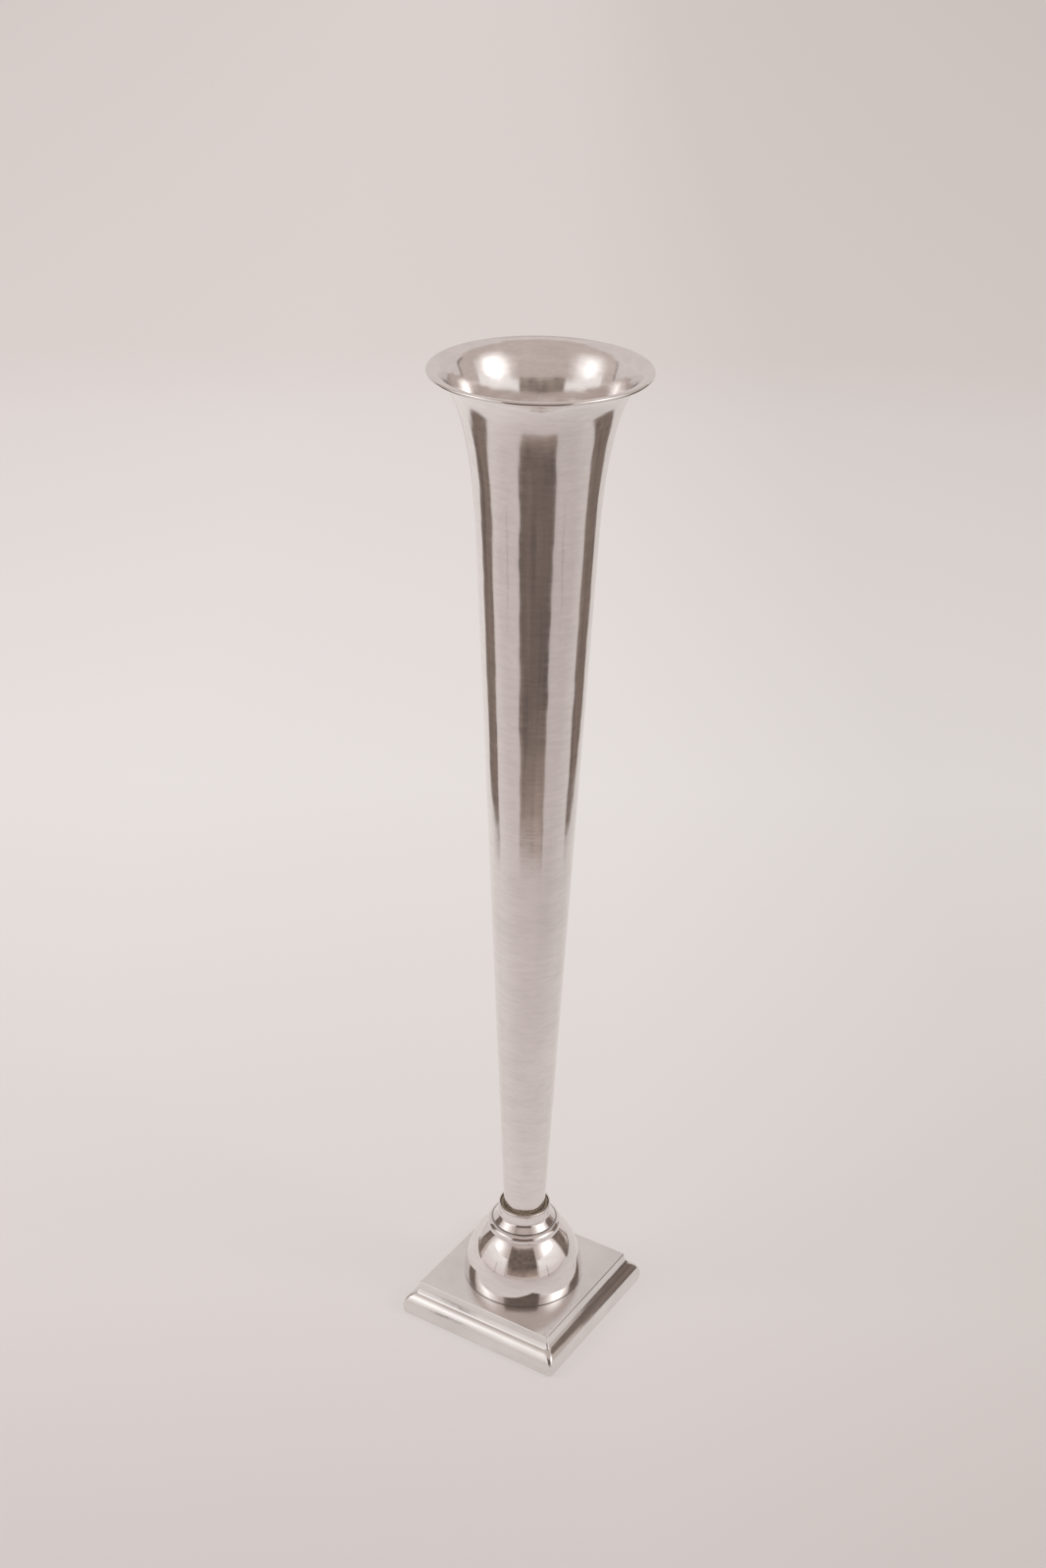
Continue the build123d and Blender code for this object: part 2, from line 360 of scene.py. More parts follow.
def turn_profile(profile, count):
    """Grid of a closed profile, radius and height, turned about the axis: x = r cos a, y = r sin a."""
    angle = np.arange(count) * 2 * np.pi / count
    radius = profile[:, 0][:, None]
    height = np.repeat(profile[:, 1][:, None], count, axis=1)
    return skin(np.stack([radius * np.cos(angle), radius * np.sin(angle), height], axis=-1))


def felt():
    """Pressed felt: short tangled fibres as fine noise, with a little sheen."""
    material, nodes, links, shader, place = new_material("pressed_felt")
    hair = stretched_noise(nodes, links, place, felt_hair_scale, detail=8, roughness=0.75)
    links.new(tint(nodes, links, hair, felt_dark, felt_light), shader.inputs["Base Color"])
    shader.inputs["Roughness"].default_value = 0.95
    shader.inputs["Sheen Weight"].default_value = 0.4
    links.new(raise_surface(nodes, links, hair, 0.8, felt_hair_depth), shader.inputs["Normal"])
    return material


felt_finish = felt()
for number in (1, 2, 3, 4):
    node = f"felt_pad_{number}"
    low, high = (np.array(corner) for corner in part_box(node))
    centre = (low + high) / 2
    outline = soften([(0, low[2]), (pad_radius, low[2]), (pad_radius, high[2]), (0, high[2])],
                     np.array([0, pad_rounding, pad_rounding, 0]))
    points, quads = turn_profile(outline, pad_steps)
    pad = add_piece(f"felt_disc_{number}", (points + centre * np.array([1, 1, 0]), quads))
    weld(pad)
    pad.data.materials.append(felt_finish)
    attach(pad, "base")
    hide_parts(node)

# Dome: a cast half-egg of aluminium, hollow underneath, drawn down on the plinth by the rod. It is
# polished to a mirror by hand, and a thin line of painted shade is drawn round its foot, where it meets the
# plinth.
dome_seat = 68.05 * mm
dome_radius = 42.8 * mm
dome_egg_height = 52 * mm
dome_inner_radius = 34 * mm
dome_crown = 6 * mm
turn_steps = 288
polish_colour = (0.92, 0.885, 0.87)
polish_dark_share = 0.88
polish_cloud_scale = (26, 26, 40)
polish_mottle_scale = (70, 70, 330)
polish_wave_scale = (34, 34, 16)
polish_wave_depth = 1.1 * mm
polish_line_depth = 0.02 * mm
dome_lines = (60, 60, 500)
# Painted shade for creases and joints: its dark colour, and the least share of metal left at its middle.
shade_line_colour = (0.12, 0.10, 0.085)
shade_line_least_metal = 0.35
# Width of the painted shade line round the dome's foot, where it sits on the plinth.
foot_shade_width = 1.1 * mm


def egg_curve(radius, height, last_angle, count):
    """Side of an upright half-egg: r = radius cos t and z = height sin t above the plinth."""
    t = np.linspace(0, last_angle, count)
    return np.stack([radius * np.cos(t), plinth_top + height * np.sin(t)], axis=1)


def dome_profile():
    """Outer egg up to the collar's seat, crown, rod hole, and the inner egg back to the foot ring."""
    ceiling = dome_seat - dome_crown
    inner_height = dome_egg_height - dome_crown
    outer_end = math.asin((dome_seat - plinth_top) / dome_egg_height)
    inner_end = math.asin((ceiling - plinth_top) / inner_height)
    inside = egg_curve(dome_inner_radius, inner_height, inner_end, 24)[::-1]
    outside = egg_curve(dome_radius, dome_egg_height, outer_end, 90)
    return np.concatenate([
        outside,
        line(outside[-1], (rod_hole, dome_seat), 5)[1:],
        line((rod_hole, dome_seat), (rod_hole, ceiling), 3),
        line((rod_hole, ceiling), inside[0], 5),
        inside,
        line(inside[-1], outside[0], 4)[1:]])


def painted_shade_line(nodes, links, place, colour, level, width):
    """Colour that turns to a dark painted shade within a width of one level."""
    offset = reckon(nodes, links, "SUBTRACT", split(nodes, links, place)["Z"], level)
    away = reckon(nodes, links, "ABSOLUTE", offset)
    mix = nodes.new("ShaderNodeMix")
    mix.data_type = "RGBA"
    mix.inputs["A"].default_value = (*shade_line_colour, 1)
    links.new(colour, mix.inputs["B"])
    links.new(spread(nodes, links, away, shade_line_least_metal, 1, width * 0.4, width), mix.inputs["Factor"])
    return mix.outputs["Result"]


def polished_aluminium(name, colour, low_rough, high_rough, lines, wobble, shade_line=None):
    """Bright metal: cloudy roughness, fine polishing lines, a slow hand-polished wobble, and, if given, a
    dark line of painted shade at one level and width."""
    material, nodes, links, shader, place = new_material(name)
    shader.inputs["Metallic"].default_value = 1
    cloud = stretched_noise(nodes, links, place, polish_cloud_scale, detail=5)
    mottle = stretched_noise(nodes, links, place, polish_mottle_scale, detail=6, roughness=0.75)
    half_mottle = spread(nodes, links, mottle, 0, 0.5, 0.2, 0.8)
    haze = reckon(nodes, links, "MULTIPLY_ADD", cloud, 0.5, half_mottle)
    metal = tint(nodes, links, haze, dimmed(colour, polish_dark_share), colour)
    # Painted shade: the colour darkens along a thin line at one level.
    if shade_line:
        metal = painted_shade_line(nodes, links, place, metal, *shade_line)
    links.new(metal, shader.inputs["Base Color"])
    links.new(spread(nodes, links, haze, low_rough, high_rough), shader.inputs["Roughness"])
    wave = stretched_noise(nodes, links, place, polish_wave_scale, detail=2)
    slow = raise_surface(nodes, links, wave, wobble, polish_wave_depth)
    scratch = stretched_noise(nodes, links, place, lines, detail=3, roughness=0.7)
    links.new(raise_surface(nodes, links, scratch, 0.6, polish_line_depth, slow), shader.inputs["Normal"])
    return material


dome = add_piece("bell_dome", turn_profile(dome_profile(), turn_steps))
# The dome's colour darkens in a line of painted shade round its foot.
dome.data.materials.append(polished_aluminium(
    "dome_polish", polish_colour, 0.06, 0.11, dome_lines, wobble=0.3, shade_line=(plinth_top, foot_shade_width)))
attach(dome, "base")
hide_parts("dome")

# Collar: a turned aluminium cup with a thin lip, a neck that sweeps out to a sharp edge, and a round
# moulding under it, polished in the lathe. It stands on the dome and is held by a nut in its cup. The
# crease over the moulding is darkened by a thin line of painted shade.
lip_level = 87.45 * mm
lip_radius = 18.4 * mm
lip_wall = 1.1 * mm
cup_seat = 76.05 * mm
moulding_foot = 25.6 * mm
moulding_radius = 26.3 * mm
moulding_belly = 69.3 * mm
crease_radius = 22.0 * mm
crease_level = 73.9 * mm
edge_radius = 22.4 * mm
edge_level = 74.4 * mm
neck_radius = 17.9 * mm
neck_level = 85.25 * mm
neck_turn = 1.2 * mm
neck_turn_rise = 2.3 * mm
neck_turn_pull = 0.3
collar_lines = (40, 40, 1800)
# Level and width of the painted shade line in the crease over the moulding.
crease_shade_level = crease_level + 0.1 * mm
crease_shade_width = 0.5 * mm


def collar_profile():
    """Cup, underside, round moulding, swept neck and rounded lip as one closed outline."""
    cup_radius = lip_radius - lip_wall
    lip_base = lip_level - lip_wall / 2
    slope_head = edge_level + edge_radius - neck_radius
    turn_foot = (neck_radius + neck_turn, slope_head - neck_turn)
    turn_head = (neck_radius, slope_head + neck_turn_rise)
    pull = neck_turn * neck_turn_pull
    rise_pull = neck_turn_rise * neck_turn_pull
    return np.concatenate([
        line((cup_radius, lip_base), (cup_radius, cup_seat), 8),
        line((cup_radius, cup_seat), (rod_hole, cup_seat), 6),
        line((rod_hole, cup_seat), (rod_hole, dome_seat), 4),
        line((rod_hole, dome_seat), (moulding_foot, dome_seat), 6),
        quarter_ellipse((moulding_foot, moulding_belly), moulding_radius - moulding_foot,
                        moulding_belly - dome_seat, -np.pi / 2, 0, 8)[1:],
        quarter_ellipse((crease_radius, moulding_belly), moulding_radius - crease_radius,
                        crease_level - moulding_belly, 0, np.pi / 2, 24),
        line((crease_radius, crease_level), (edge_radius, edge_level), 4),
        line((edge_radius, edge_level), turn_foot, 12),
        bezier(turn_foot, (neck_radius + pull, slope_head - pull), (neck_radius, slope_head + rise_pull),
               turn_head, 20)[1:],
        line(turn_head, (neck_radius, neck_level), 5)[1:],
        line((neck_radius, neck_level), (lip_radius, lip_base), 6),
        arc(((lip_radius + cup_radius) / 2, lip_base), lip_wall / 2, 0, math.pi, 10)])


collar = add_piece("collar_cup", turn_profile(collar_profile(), turn_steps))
# The collar's colour darkens in a line of painted shade in the crease over the moulding.
collar.data.materials.append(polished_aluminium(
    "collar_polish", polish_colour, 0.09, 0.15, collar_lines, wobble=0.2,
    shade_line=(crease_shade_level, crease_shade_width)))
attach(collar, "base")
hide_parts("collar")

# Rod: ten-millimetre zinc-plated studding through plinth, dome and collar. Its upper end stands in the
# cup and takes the vessel's plug, and it shows when the vessel is screwed off.
rod_radius = 5 * mm
rod_low = 3.2 * mm
rod_high = 101.05 * mm
rod_chamfer = 1.0 * mm
rod_steps = 48
thread_pitch = 1.5 * mm
thread_depth = 0.85 * mm
thread_steps = 10
flank_slope = 1.3
crest_flat = 0.15
zinc_colour = (0.60, 0.59, 0.56)
plate_dark_share = 0.75
plate_cloud_scale = (400, 400, 400)
plate_cloud_depth = 0.05 * mm


def thread_skin():
    """Screw thread: the radius falls from the crest by a rounded tooth of z / pitch - a / turn."""
    angle = np.arange(rod_steps) * 2 * np.pi / rod_steps
    count = int((rod_high - rod_low) / thread_pitch * thread_steps)
    height = np.linspace(rod_low, rod_high, count)[:, None]
    phase = (height / thread_pitch - angle / (2 * np.pi)) % 1
    tooth = np.clip(np.abs(phase * 2 - 1) * flank_slope - crest_flat, 0, 1)
    end = np.minimum(height - rod_low, rod_high - height)
    radius = np.minimum(rod_radius - thread_depth * tooth, rod_radius - rod_chamfer + end)
    grid = np.stack(
        [radius * np.cos(angle), radius * np.sin(angle), np.repeat(height, rod_steps, axis=1)], axis=-1)
    on_axis = np.array([0, 0, 1])
    return skin(np.concatenate([grid[:1] * on_axis, grid, grid[-1:] * on_axis]), closed_rows=False)


def plated_steel(name, colour):
    """Plated steel: soft grey metal with small cloudy changes of gloss and tone."""
    material, nodes, links, shader, place = new_material(name)
    shader.inputs["Metallic"].default_value = 1
    cloud = stretched_noise(nodes, links, place, plate_cloud_scale, detail=5)
    dark = dimmed(colour, plate_dark_share)
    links.new(tint(nodes, links, cloud, dark, colour), shader.inputs["Base Color"])
    links.new(spread(nodes, links, cloud, 0.25, 0.45), shader.inputs["Roughness"])
    links.new(raise_surface(nodes, links, cloud, 0.2, plate_cloud_depth), shader.inputs["Normal"])
    return material


zinc = plated_steel("zinc_plate", zinc_colour)
rod = add_piece("studding", thread_skin())
weld(rod)
rod.data.materials.append(zinc)
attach(rod, "base")
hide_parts("tie_rod")

# Nuts and washers: standard zinc-plated hardware in the cup and under the plinth, which draws the foot
# together on the rod. The split washer under the plinth is oiled spring steel.
spring_colour = (0.30, 0.30, 0.31)
hardware = dict.fromkeys(("cup_washer", "cup_nut", "base_washer", "base_nut"), zinc)
hardware["lock_washer"] = plated_steel("oiled_spring_steel", spring_colour)
for node, finish in hardware.items():
    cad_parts[node].data.materials.clear()
    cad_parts[node].data.materials.append(finish)

# Seat ring: a ring of dark brown fibre in the collar's cup. The stem's foot stands on its flange, and
# its wall shows as a dull dark line in the gap round the stem. Cut from sheet, so its face is rough.
stem_foot = 78.55 * mm
seat_top = 86.65 * mm
seat_outer = 17.0 * mm
seat_bore = 14.78 * mm
seat_inner = 10.6 * mm
seat_rounding = 0.35 * mm
fibre_dark = (0.15, 0.125, 0.095)
fibre_light = (0.34, 0.285, 0.22)
fibre_grain_scale = (900, 900, 900)
fibre_grain_depth = 0.3 * mm


def fibre():
    """Dull pressed fibre: two browns in fine grains, and a rough surface."""
    material, nodes, links, shader, place = new_material("brown_fibre")
    grain = stretched_noise(nodes, links, place, fibre_grain_scale, detail=6)
    links.new(tint(nodes, links, grain, fibre_dark, fibre_light), shader.inputs["Base Color"])
    shader.inputs["Roughness"].default_value = 0.85
    links.new(raise_surface(nodes, links, grain, 0.6, fibre_grain_depth), shader.inputs["Normal"])
    return material


seat_outline = soften(
    [(seat_inner, cup_seat), (seat_outer, cup_seat), (seat_outer, seat_top), (seat_bore, seat_top),
     (seat_bore, stem_foot), (seat_inner, stem_foot)], seat_rounding)
seat = add_piece("seat_ring", turn_profile(seat_outline, turn_steps))
seat.data.materials.append(fibre())
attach(seat, "seat")
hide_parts("seat_washer")

# Stem plug: a turned aluminium bung driven into the stem's foot, which holds the water and takes the
# thread of the rod. It is left as it came off the lathe, with coarse tool marks.
turned_colour = (0.70, 0.69, 0.68)
lathe_lines = (60, 60, 2600)
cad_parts["stem_plug"].data.materials.clear()
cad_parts["stem_plug"].data.materials.append(
    polished_aluminium("lathe_turned", turned_colour, 0.28, 0.42, lathe_lines, wobble=0.1))

# Vessel: a tall cone of aluminium about two millimetres thick, spun out at the top into a bell whose
# lip lies almost flat and ends in a round bead. Polished by hand on a wheel, so fine lines run round it.
stem_radius = 14.65 * mm
cone_top_radius = 37.9 * mm
cone_top_height = 600 * mm
rim_radius = 67.5 * mm
rim_height = 700 * mm
rim_bead_radius = 1.5 * mm
rim_rise = math.radians(6)
vessel_wall = 2.2 * mm
bell_fullness_share = 0.55
vessel_lines = (30, 30, 1400)
throat_fade = (560 * mm, 645 * mm)
throat_metallic = 0.35
throat_roughness = 0.5


def vessel_profile():
    """Wall of even thickness: cone, cubic bell, round bead, and the same curves back inside."""
    slope = math.atan2(cone_top_radius - stem_radius, cone_top_height - lip_level)
    lean = np.array([math.sin(slope), math.cos(slope)])
    inward = np.array([-math.cos(slope), math.sin(slope)]) * vessel_wall
    outward = np.array([math.cos(rim_rise), math.sin(rim_rise)])
    upward = np.array([-math.sin(rim_rise), math.cos(rim_rise)]) * vessel_wall
    neck = math.sqrt(rim_bead_radius ** 2 - (vessel_wall / 2) ** 2)
    bead = np.array([rim_radius - rim_bead_radius, rim_height - rim_bead_radius])
    start = np.array([cone_top_radius, cone_top_height])
    end = bead - outward * neck - upward / 2
    rising = lean * bell_fullness_share * (end[1] - start[1])
    spreading = outward * bell_fullness_share * (end[0] - start[0])
    foot_radius = stem_radius + math.tan(slope) * (stem_foot - lip_level)
    foot = np.array([foot_radius, stem_foot])
    inner_foot = foot - np.array([vessel_wall / math.cos(slope), 0])
    half_angle = math.asin(vessel_wall / 2 / rim_bead_radius)
    first = rim_rise - math.pi + half_angle
    last = rim_rise + math.pi - half_angle
    return np.concatenate([
        line(inner_foot, foot, 4),
        line(foot, start, 60),
        bezier(start, start + rising, end - spreading, end, 90),
        arc(bead, rim_bead_radius, first, last, 20),
        bezier(end + upward, end + upward - spreading, start + inward + rising, start + inward, 90),
        line(start + inward, inner_foot, 40)])


def dull_throat(material):
    """Changes the metal inside the cone, where no wheel reaches, to dull grey as it goes deeper: inside
    is where the distance from the axis falls short of the middle of the wall."""
    nodes, links = material.node_tree.nodes, material.node_tree.links
    shader = nodes["Principled BSDF"]
    x, y, height = split(nodes, links, nodes.new("ShaderNodeTexCoord").outputs["Object"])
    squares = reckon(nodes, links, "MULTIPLY_ADD", x, x, reckon(nodes, links, "MULTIPLY", y, y))
    radius = reckon(nodes, links, "SQRT", squares)
    taper = (cone_top_radius - stem_radius) / (cone_top_height - lip_level)
    middle_at_floor = stem_radius - taper * lip_level - vessel_wall / 2
    wall_middle = reckon(nodes, links, "MULTIPLY_ADD", height, taper, middle_at_floor)
    inside = reckon(nodes, links, "LESS_THAN", radius, wall_middle)
    deep = spread(nodes, links, height, 1, 0, *throat_fade)
    dull = reckon(nodes, links, "MULTIPLY", inside, deep)
    for socket, value in {"Metallic": throat_metallic, "Roughness": throat_roughness}.items():
        blend = nodes.new("ShaderNodeMix")
        if shader.inputs[socket].is_linked:
            links.new(shader.inputs[socket].links[0].from_socket, blend.inputs["A"])
        else:
            blend.inputs["A"].default_value = shader.inputs[socket].default_value
        blend.inputs["B"].default_value = value
        links.new(dull, blend.inputs["Factor"])
        links.new(blend.outputs["Result"], shader.inputs[socket])


vessel = add_piece("vessel", turn_profile(vessel_profile(), turn_steps))
wheel_polish = polished_aluminium("wheel_polish", polish_colour, 0.09, 0.17, vessel_lines, wobble=0.6)
dull_throat(wheel_polish)
vessel.data.materials.append(wheel_polish)
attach(vessel, "vessel")
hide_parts("trumpet")

# View of the finished vase from above its right-hand corner, with a 50 mm lens on a full-frame body
# held a little over a metre away and turned by a small roll.
viewer_azimuth = math.radians(31.56)
viewer_distance = 1.2436
viewer_height = 1.0759
viewer_pitch = math.radians(27.657)
viewer_pan = math.radians(-0.285)
viewer_roll = math.radians(0.98)
lens_mm = 50
sensor_mm = 36


def add_camera():
    """Camera whose axes are worked out from azimuth, pitch, pan and roll."""
    turn = Matrix.Rotation(viewer_azimuth, 3, "Z")
    level = math.cos(viewer_pitch)
    ahead = turn @ Vector((
        math.sin(viewer_pan) * level, math.cos(viewer_pan) * level, -math.sin(viewer_pitch)))
    across = turn @ Vector((math.cos(viewer_pan), -math.sin(viewer_pan), 0))
    above = across.cross(ahead)
    right = across * math.cos(viewer_roll) + above * math.sin(viewer_roll)
    up = above * math.cos(viewer_roll) - across * math.sin(viewer_roll)
    place = turn @ Vector((0, -viewer_distance, viewer_height))
    data = bpy.data.cameras.new("view")
    data.lens = lens_mm
    data.sensor_width = sensor_mm
    camera = bpy.data.objects.new("view", data)
    bpy.context.scene.collection.objects.link(camera)
    axes = Matrix((right, up, -ahead)).transposed()
    camera.matrix_world = Matrix.Translation(place) @ axes.to_4x4()
    bpy.context.scene.camera = camera


add_camera()

# Studio: a wide pale floor with painted light that is brightest behind the vase, a soft box in front to
# either side, white panels under them, a pale backdrop behind, and between these the dark gaps, side
# posts and lamp stands.
# Azimuths are in degrees from the viewer, positive to the right; cards are seen only in the metal.
floor_reach = 30.0
floor_glow_share = 0.8
floor_depths = (-0.4, 2.4)
# Painted light on the floor by depth: dimmer in front of the vase, brightest just behind it.
floor_light_by_depth = [(0.0, (0.62, 0.56, 0.55)), (0.14, (0.72, 0.67, 0.65)), (0.43, (0.83, 0.79, 0.775)),
               (0.86, (0.80, 0.75, 0.735)), (1.0, (0.77, 0.71, 0.69))]
floor_widths = (-2.0, 2.0)
# Painted light falloff across the floor: brightest a little left of the middle, dimmer to either side.
floor_light_by_width = [(0.0, (0.94, 0.92, 0.92)), (0.40, (1.0, 1.0, 1.0)), (0.52, (0.98, 0.98, 0.98)),
              (0.60, (0.90, 0.90, 0.89)), (1.0, (0.84, 0.82, 0.82))]
card_foot = 1 * mm
card_steps = 24
gap_tones = [(0.0, (0.34, 0.275, 0.245)), (0.12, (0.16, 0.13, 0.117)), (0.65, (0.155, 0.128, 0.115)),
             (1.0, (0.30, 0.25, 0.225))]
gap_heights = (0.08, 1.1)
gap_patch_scale = (9, 9, 7)
gap_patch_dark = (0.76, 0.73, 0.73)
gap_patch_light = (1.34, 1.28, 1.2)
side_tones = [(0.0, (0.19, 0.152, 0.135)), (1.0, (0.155, 0.133, 0.122))]
stand_tone = (0.09, 0.075, 0.07)
dim_tone = (0.55, 0.475, 0.44)
pale_tone = (0.76, 0.71, 0.69)
backdrop_tone = (0.66, 0.60, 0.58)
panel_foot_tone = (0.73, 0.655, 0.63)
panel_head_tone = (0.92, 0.88, 0.86)
panel_fade = (0.4, 2.2)
viewer_foot = (-30, 28, 0.48, 0.08)
viewer_head = (-38, 32, 0.90, 1.08)
side_feet = [(-111, -98, 0.75, card_foot), (96, 112, 0.75, card_foot)]
side_heads = [(-126, -98, 0.75, 0.66), (96, 138, 0.75, 0.66)]
post_cards = [(-118, -115, 1.58, 1.7), (125, 128, 1.58, 1.7)]
paper_gaps = {-1: [(0.63, 0.02), (1.7, 0.06), (1.7, 1.15), (0.63, 0.43)],
              1: [(0.63, 0.07), (1.7, 0.18), (1.7, 1.60), (0.63, 0.59)]}
stand_cards = [(-57, -56.2, 1.1, 0.3), (49, 49.8, 1.1, 0.3)]
panel_cards = [(-92, -37, 5.0, 2.5), (33, 94, 5.0, 2.5)]
backdrop_card = (128, 243, 1.6, 4.0)
soft_boxes = [(-72, 1.8), (68, 2.8)]
soft_box_tone = (1.0, 0.98, 0.97)
soft_box_distance = 6.0
soft_box_level = 3.7
soft_box_radius = 4.0
lamp_distance = 1.8
lamp_level = 1.69
lamp_power = 20
lamp_side = 0.9


def toward(azimuth_deg):
    """Level direction at an azimuth counted from the viewer, positive to the viewer's right."""
    turn = viewer_azimuth + math.radians(azimuth_deg)
    return Vector((math.sin(turn), -math.cos(turn), 0))


def bare_material(name):
    """Node material with nothing but its output."""
    material = bpy.data.materials.new(name)
    material.use_nodes = True
    nodes, links = material.node_tree.nodes, material.node_tree.links
    nodes.clear()
    return material, nodes, links, nodes.new("ShaderNodeOutputMaterial").inputs["Surface"]


def seen_ray(nodes, links):
    """One for rays of the camera, of reflections and of light passed through, else nought."""
    path = nodes.new("ShaderNodeLightPath").outputs
    mirrored = reckon(nodes, links, "MAXIMUM", path["Is Camera Ray"], path["Is Glossy Ray"])
    return reckon(nodes, links, "MAXIMUM", mirrored, path["Is Transmission Ray"])


def multiply_tones(nodes, links, first, second):
    """Product of two colours."""
    product = nodes.new("ShaderNodeMix")
    product.data_type = "RGBA"
    product.blend_type = "MULTIPLY"
    product.inputs["Factor"].default_value = 1
    links.new(first, product.inputs["A"])
    links.new(second, product.inputs["B"])
    return product.outputs["Result"]


def mix_shaders(nodes, links, share, first, second, surface):
    """Surface that is the first shader, turning to the second with a share."""
    mix = nodes.new("ShaderNodeMixShader")
    links.new(share, mix.inputs["Fac"])
    links.new(first, mix.inputs[1])
    links.new(second, mix.inputs[2])
    links.new(mix.outputs["Shader"], surface)


def floor_material():
    """Matt floor that takes the shadow and also glows; its tone is painted light falling off with depth and
    width.
    """
    material, nodes, links, surface = bare_material("pale_floor")
    place = nodes.new("ShaderNodeTexCoord").outputs["Object"]
    turn = nodes.new("ShaderNodeMapping")
    turn.inputs["Rotation"].default_value = (0, 0, -viewer_azimuth)
    links.new(place, turn.inputs["Vector"])
    parts = split(nodes, links, turn.outputs["Vector"])
    depth = spread(nodes, links, parts["Y"], 0, 1, *floor_depths)
    width = spread(nodes, links, parts["X"], 0, 1, *floor_widths)
    tone = multiply_tones(nodes, links, tone_ramp(nodes, links, depth, floor_light_by_depth),
                          tone_ramp(nodes, links, width, floor_light_by_width))
    matt = nodes.new("ShaderNodeBsdfDiffuse")
    glow = nodes.new("ShaderNodeEmission")
    links.new(tone, matt.inputs["Color"])
    links.new(tone, glow.inputs["Color"])
    share = reckon(nodes, links, "MULTIPLY", seen_ray(nodes, links), floor_glow_share)
    mix_shaders(nodes, links, share, matt.outputs["BSDF"], glow.outputs["Emission"], surface)
    return material


def glow_material(name, tone):
    """Even glow of one tone."""
    material, nodes, links, surface = bare_material(name)
    glow = nodes.new("ShaderNodeEmission")
    glow.inputs["Color"].default_value = (*tone, 1)
    links.new(glow.outputs["Emission"], surface)
    return material


def room_material(name, tones):
    """Dim tones of a room out of the light, which change with height, in soft warm patches."""
    material, nodes, links, surface = bare_material(name)
    place = nodes.new("ShaderNodeTexCoord").outputs["Object"]
    patch = stretched_noise(nodes, links, place, gap_patch_scale, detail=3)
    rise = spread(nodes, links, split(nodes, links, place)["Z"], 0, 1, *gap_heights)
    glow = nodes.new("ShaderNodeEmission")
    tone = multiply_tones(nodes, links, tone_ramp(nodes, links, rise, tones),
                          tint(nodes, links, patch, gap_patch_dark, gap_patch_light))
    links.new(tone, glow.inputs["Color"])
    links.new(glow.outputs["Emission"], surface)
    return material


def panel_material(name):
    """White panel that is brighter towards its head, where the soft box lights it."""
    material, nodes, links, surface = bare_material(name)
    place = nodes.new("ShaderNodeTexCoord").outputs["Object"]
    tone = nodes.new("ShaderNodeMix")
    tone.data_type = "RGBA"
    tone.inputs["A"].default_value = (*panel_foot_tone, 1)
    tone.inputs["B"].default_value = (*panel_head_tone, 1)
    rise = spread(nodes, links, split(nodes, links, place)["Z"], 0, 1, *panel_fade)
    links.new(rise, tone.inputs["Factor"])
    glow = nodes.new("ShaderNodeEmission")
    links.new(tone.outputs["Result"], glow.inputs["Color"])
    links.new(glow.outputs["Emission"], surface)
    return material


def soft_box_material(name, centre, strength):
    """Glow that is full in the middle of the box and dies away to its edge, where it is clear."""
    material, nodes, links, surface = bare_material(name)
    place = nodes.new("ShaderNodeTexCoord").outputs["Object"]
    away = nodes.new("ShaderNodeVectorMath")
    away.operation = "DISTANCE"
    links.new(place, away.inputs[0])
    away.inputs[1].default_value = centre
    inner = spread(nodes, links, away.outputs["Value"], 1, 0, 0, soft_box_radius)
    glow = nodes.new("ShaderNodeEmission")
    glow.inputs["Color"].default_value = (*soft_box_tone, 1)
    glow.inputs["Strength"].default_value = strength
    clear = nodes.new("ShaderNodeBsdfTransparent")
    mix_shaders(nodes, links, reckon(nodes, links, "POWER", inner, 2), clear.outputs["BSDF"],
                glow.outputs["Emission"], surface)
    return material


def add_mirrored(name, points, quads, material):
    """Stage card that only reflections see."""
    card = add_piece(name, (points, quads))
    card.data.materials.append(material)
    card.visible_camera = False
    card.visible_diffuse = False
    card.visible_shadow = False
    card.visible_transmission = False


def leaning_card(foot, head):
    """Curved card between two level edges, each a span of azimuths at a reach and a height."""
    share = np.linspace(0, 1, card_steps)
    first, last, reach, height = np.array([foot, head]).T[:, :, None]
    azimuth = viewer_azimuth + np.radians(first + (last - first) * share)
    level = np.repeat(height, card_steps, axis=1)
    points = np.stack([reach * np.sin(azimuth), -reach * np.cos(azimuth), level], axis=-1)
    index = np.arange(2 * card_steps).reshape(2, card_steps)
    quads = np.stack([index[:-1, :-1], index[:-1, 1:], index[1:, 1:], index[1:, :-1]], axis=-1)
    return points.reshape(-1, 3), quads.reshape(-1, 4)


def standing_card(first, last, reach, top):
    """Curved card over a span of azimuths, stood on the floor."""
    return leaning_card((first, last, reach, card_foot), (first, last, reach, top))


def lying_card(outline, side):
    """Flat card on the floor: an outline to the viewer's right, or mirrored to the left by a side of -1."""
    level = Vector((0, 0, card_foot))
    corners = [toward(90) * x * side - toward(0) * y + level for x, y in outline]
    return np.array(corners[::side]), np.array([[0, 1, 2, 3]])


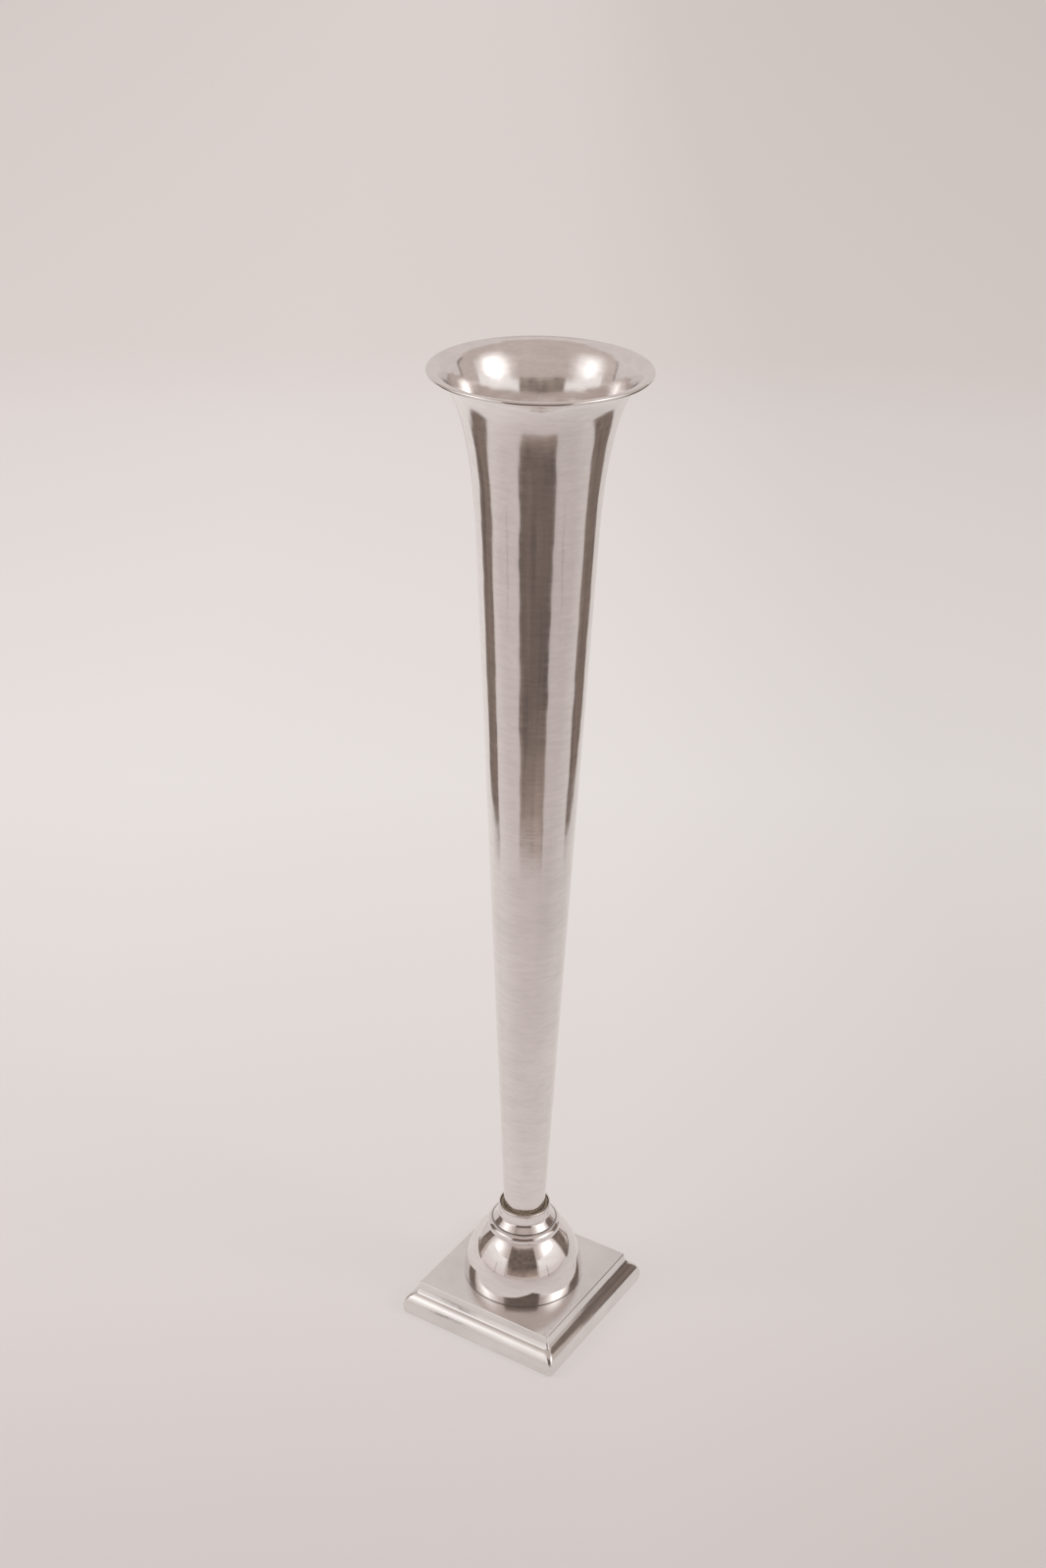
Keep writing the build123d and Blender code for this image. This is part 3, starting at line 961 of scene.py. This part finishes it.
def add_soft_box(number, azimuth, strength):
    """Round-edged glow for the mirrors, and a nearer lamp on the same side for light and shadow."""
    middle = Vector((0, 0, rim_height / 2))
    centre = toward(azimuth) * soft_box_distance + Vector((0, 0, soft_box_level))
    aim = (middle - centre).normalized()
    across = aim.cross(Vector((0, 0, 1))).normalized()
    upright = across.cross(aim)
    square = ((-1, -1), (1, -1), (1, 1), (-1, 1))
    corners = np.array([centre + (across * x + upright * z) * soft_box_radius for x, z in square])
    add_mirrored(f"soft_box_{number}", corners, np.array([[0, 1, 2, 3]]),
                 soft_box_material(f"soft_box_{number}", centre, strength))
    data = bpy.data.lights.new(f"lamp_{number}", "AREA")
    data.size = lamp_side
    data.energy = lamp_power
    lamp = bpy.data.objects.new(f"lamp_{number}", data)
    lamp.location = toward(azimuth) * lamp_distance + Vector((0, 0, lamp_level))
    lamp.rotation_euler = (middle - lamp.location).to_track_quat("-Z", "Y").to_euler()
    lamp.visible_glossy = False
    bpy.context.scene.collection.objects.link(lamp)


def add_surroundings():
    """Dim room for the mirrors and pale surroundings for the camera."""
    world = bpy.data.worlds.new("surroundings")
    world.use_nodes = True
    nodes, links = world.node_tree.nodes, world.node_tree.links
    tone = nodes.new("ShaderNodeMix")
    tone.data_type = "RGBA"
    tone.inputs["A"].default_value = (*dim_tone, 1)
    tone.inputs["B"].default_value = (*pale_tone, 1)
    links.new(nodes.new("ShaderNodeLightPath").outputs["Is Camera Ray"], tone.inputs["Factor"])
    links.new(tone.outputs["Result"], nodes["Background"].inputs["Color"])
    bpy.context.scene.world = world


floor_corners = np.array([(-1, -1, 0), (1, -1, 0), (1, 1, 0), (-1, 1, 0)]) * floor_reach
floor = add_piece("studio_floor", (floor_corners, np.array([[0, 1, 2, 3]])))
floor.data.materials.append(floor_material())
add_mirrored("viewer_gap", *leaning_card(viewer_foot, viewer_head), room_material("viewer_gap", gap_tones))
side_room = room_material("side_gap", side_tones)
for number, edges in enumerate(zip(side_feet, side_heads), start=1):
    add_mirrored(f"side_gap_{number}", *leaning_card(*edges), side_room)
for number, card in enumerate(post_cards, start=1):
    add_mirrored(f"post_{number}", *standing_card(*card), side_room)
for number, (side, outline) in enumerate(paper_gaps.items(), start=1):
    add_mirrored(f"paper_gap_{number}", *lying_card(outline, side), side_room)
dark_stand = glow_material("lamp_stand", stand_tone)
for number, card in enumerate(stand_cards, start=1):
    add_mirrored(f"lamp_stand_{number}", *standing_card(*card), dark_stand)
white = panel_material("white_panel")
for number, card in enumerate(panel_cards, start=1):
    add_mirrored(f"white_panel_{number}", *standing_card(*card), white)
add_mirrored("backdrop", *standing_card(*backdrop_card), glow_material("backdrop", backdrop_tone))
for number, box in enumerate(soft_boxes, start=1):
    add_soft_box(number, *box)
add_surroundings()
bpy.context.scene.view_settings.view_transform = "Standard"
